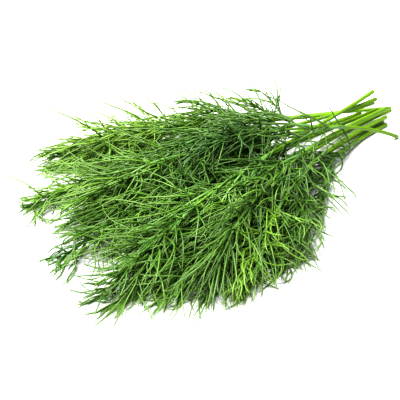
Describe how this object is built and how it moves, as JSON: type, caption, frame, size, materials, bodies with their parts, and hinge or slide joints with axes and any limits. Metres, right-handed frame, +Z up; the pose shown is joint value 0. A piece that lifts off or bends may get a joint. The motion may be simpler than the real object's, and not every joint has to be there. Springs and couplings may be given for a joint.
{
  "type": "dill bunch",
  "caption": "Loose bunch of fresh cut dill lying flat: bare stems gathered at one end, feathery thread-like leaves fanned out at the other.",
  "frame": {"origin": "on the surface that the bunch lies on, under the middle of its bounding box", "axes": "+X along the stems towards their cut ends, so the foliage fans out towards -X; +Y across the bunch; +Z up from the surface"},
  "size_m": [0.3108, 0.2127, 0.0491],
  "materials": {
    "dill_young": "satin",
    "dill_middle": "satin",
    "dill_mature": "satin"
  },
  "bodies": {
    "root": {"leafy_stem_01": "dill_mature", "leafy_stem_02": "dill_middle", "leafy_stem_03": "dill_young", "leafy_stem_04": "dill_mature", "leafy_stem_05": "dill_middle", "leafy_stem_06": "dill_young", "leafy_stem_07": "dill_mature", "leafy_stem_08": "dill_middle", "leafy_stem_09": "dill_young", "leafy_stem_10": "dill_mature", "leafy_stem_11": "dill_middle", "leafy_stem_12": "dill_young", "leafy_stem_13": "dill_mature", "leafy_stem_14": "dill_middle"}
  },
  "joints": []
}
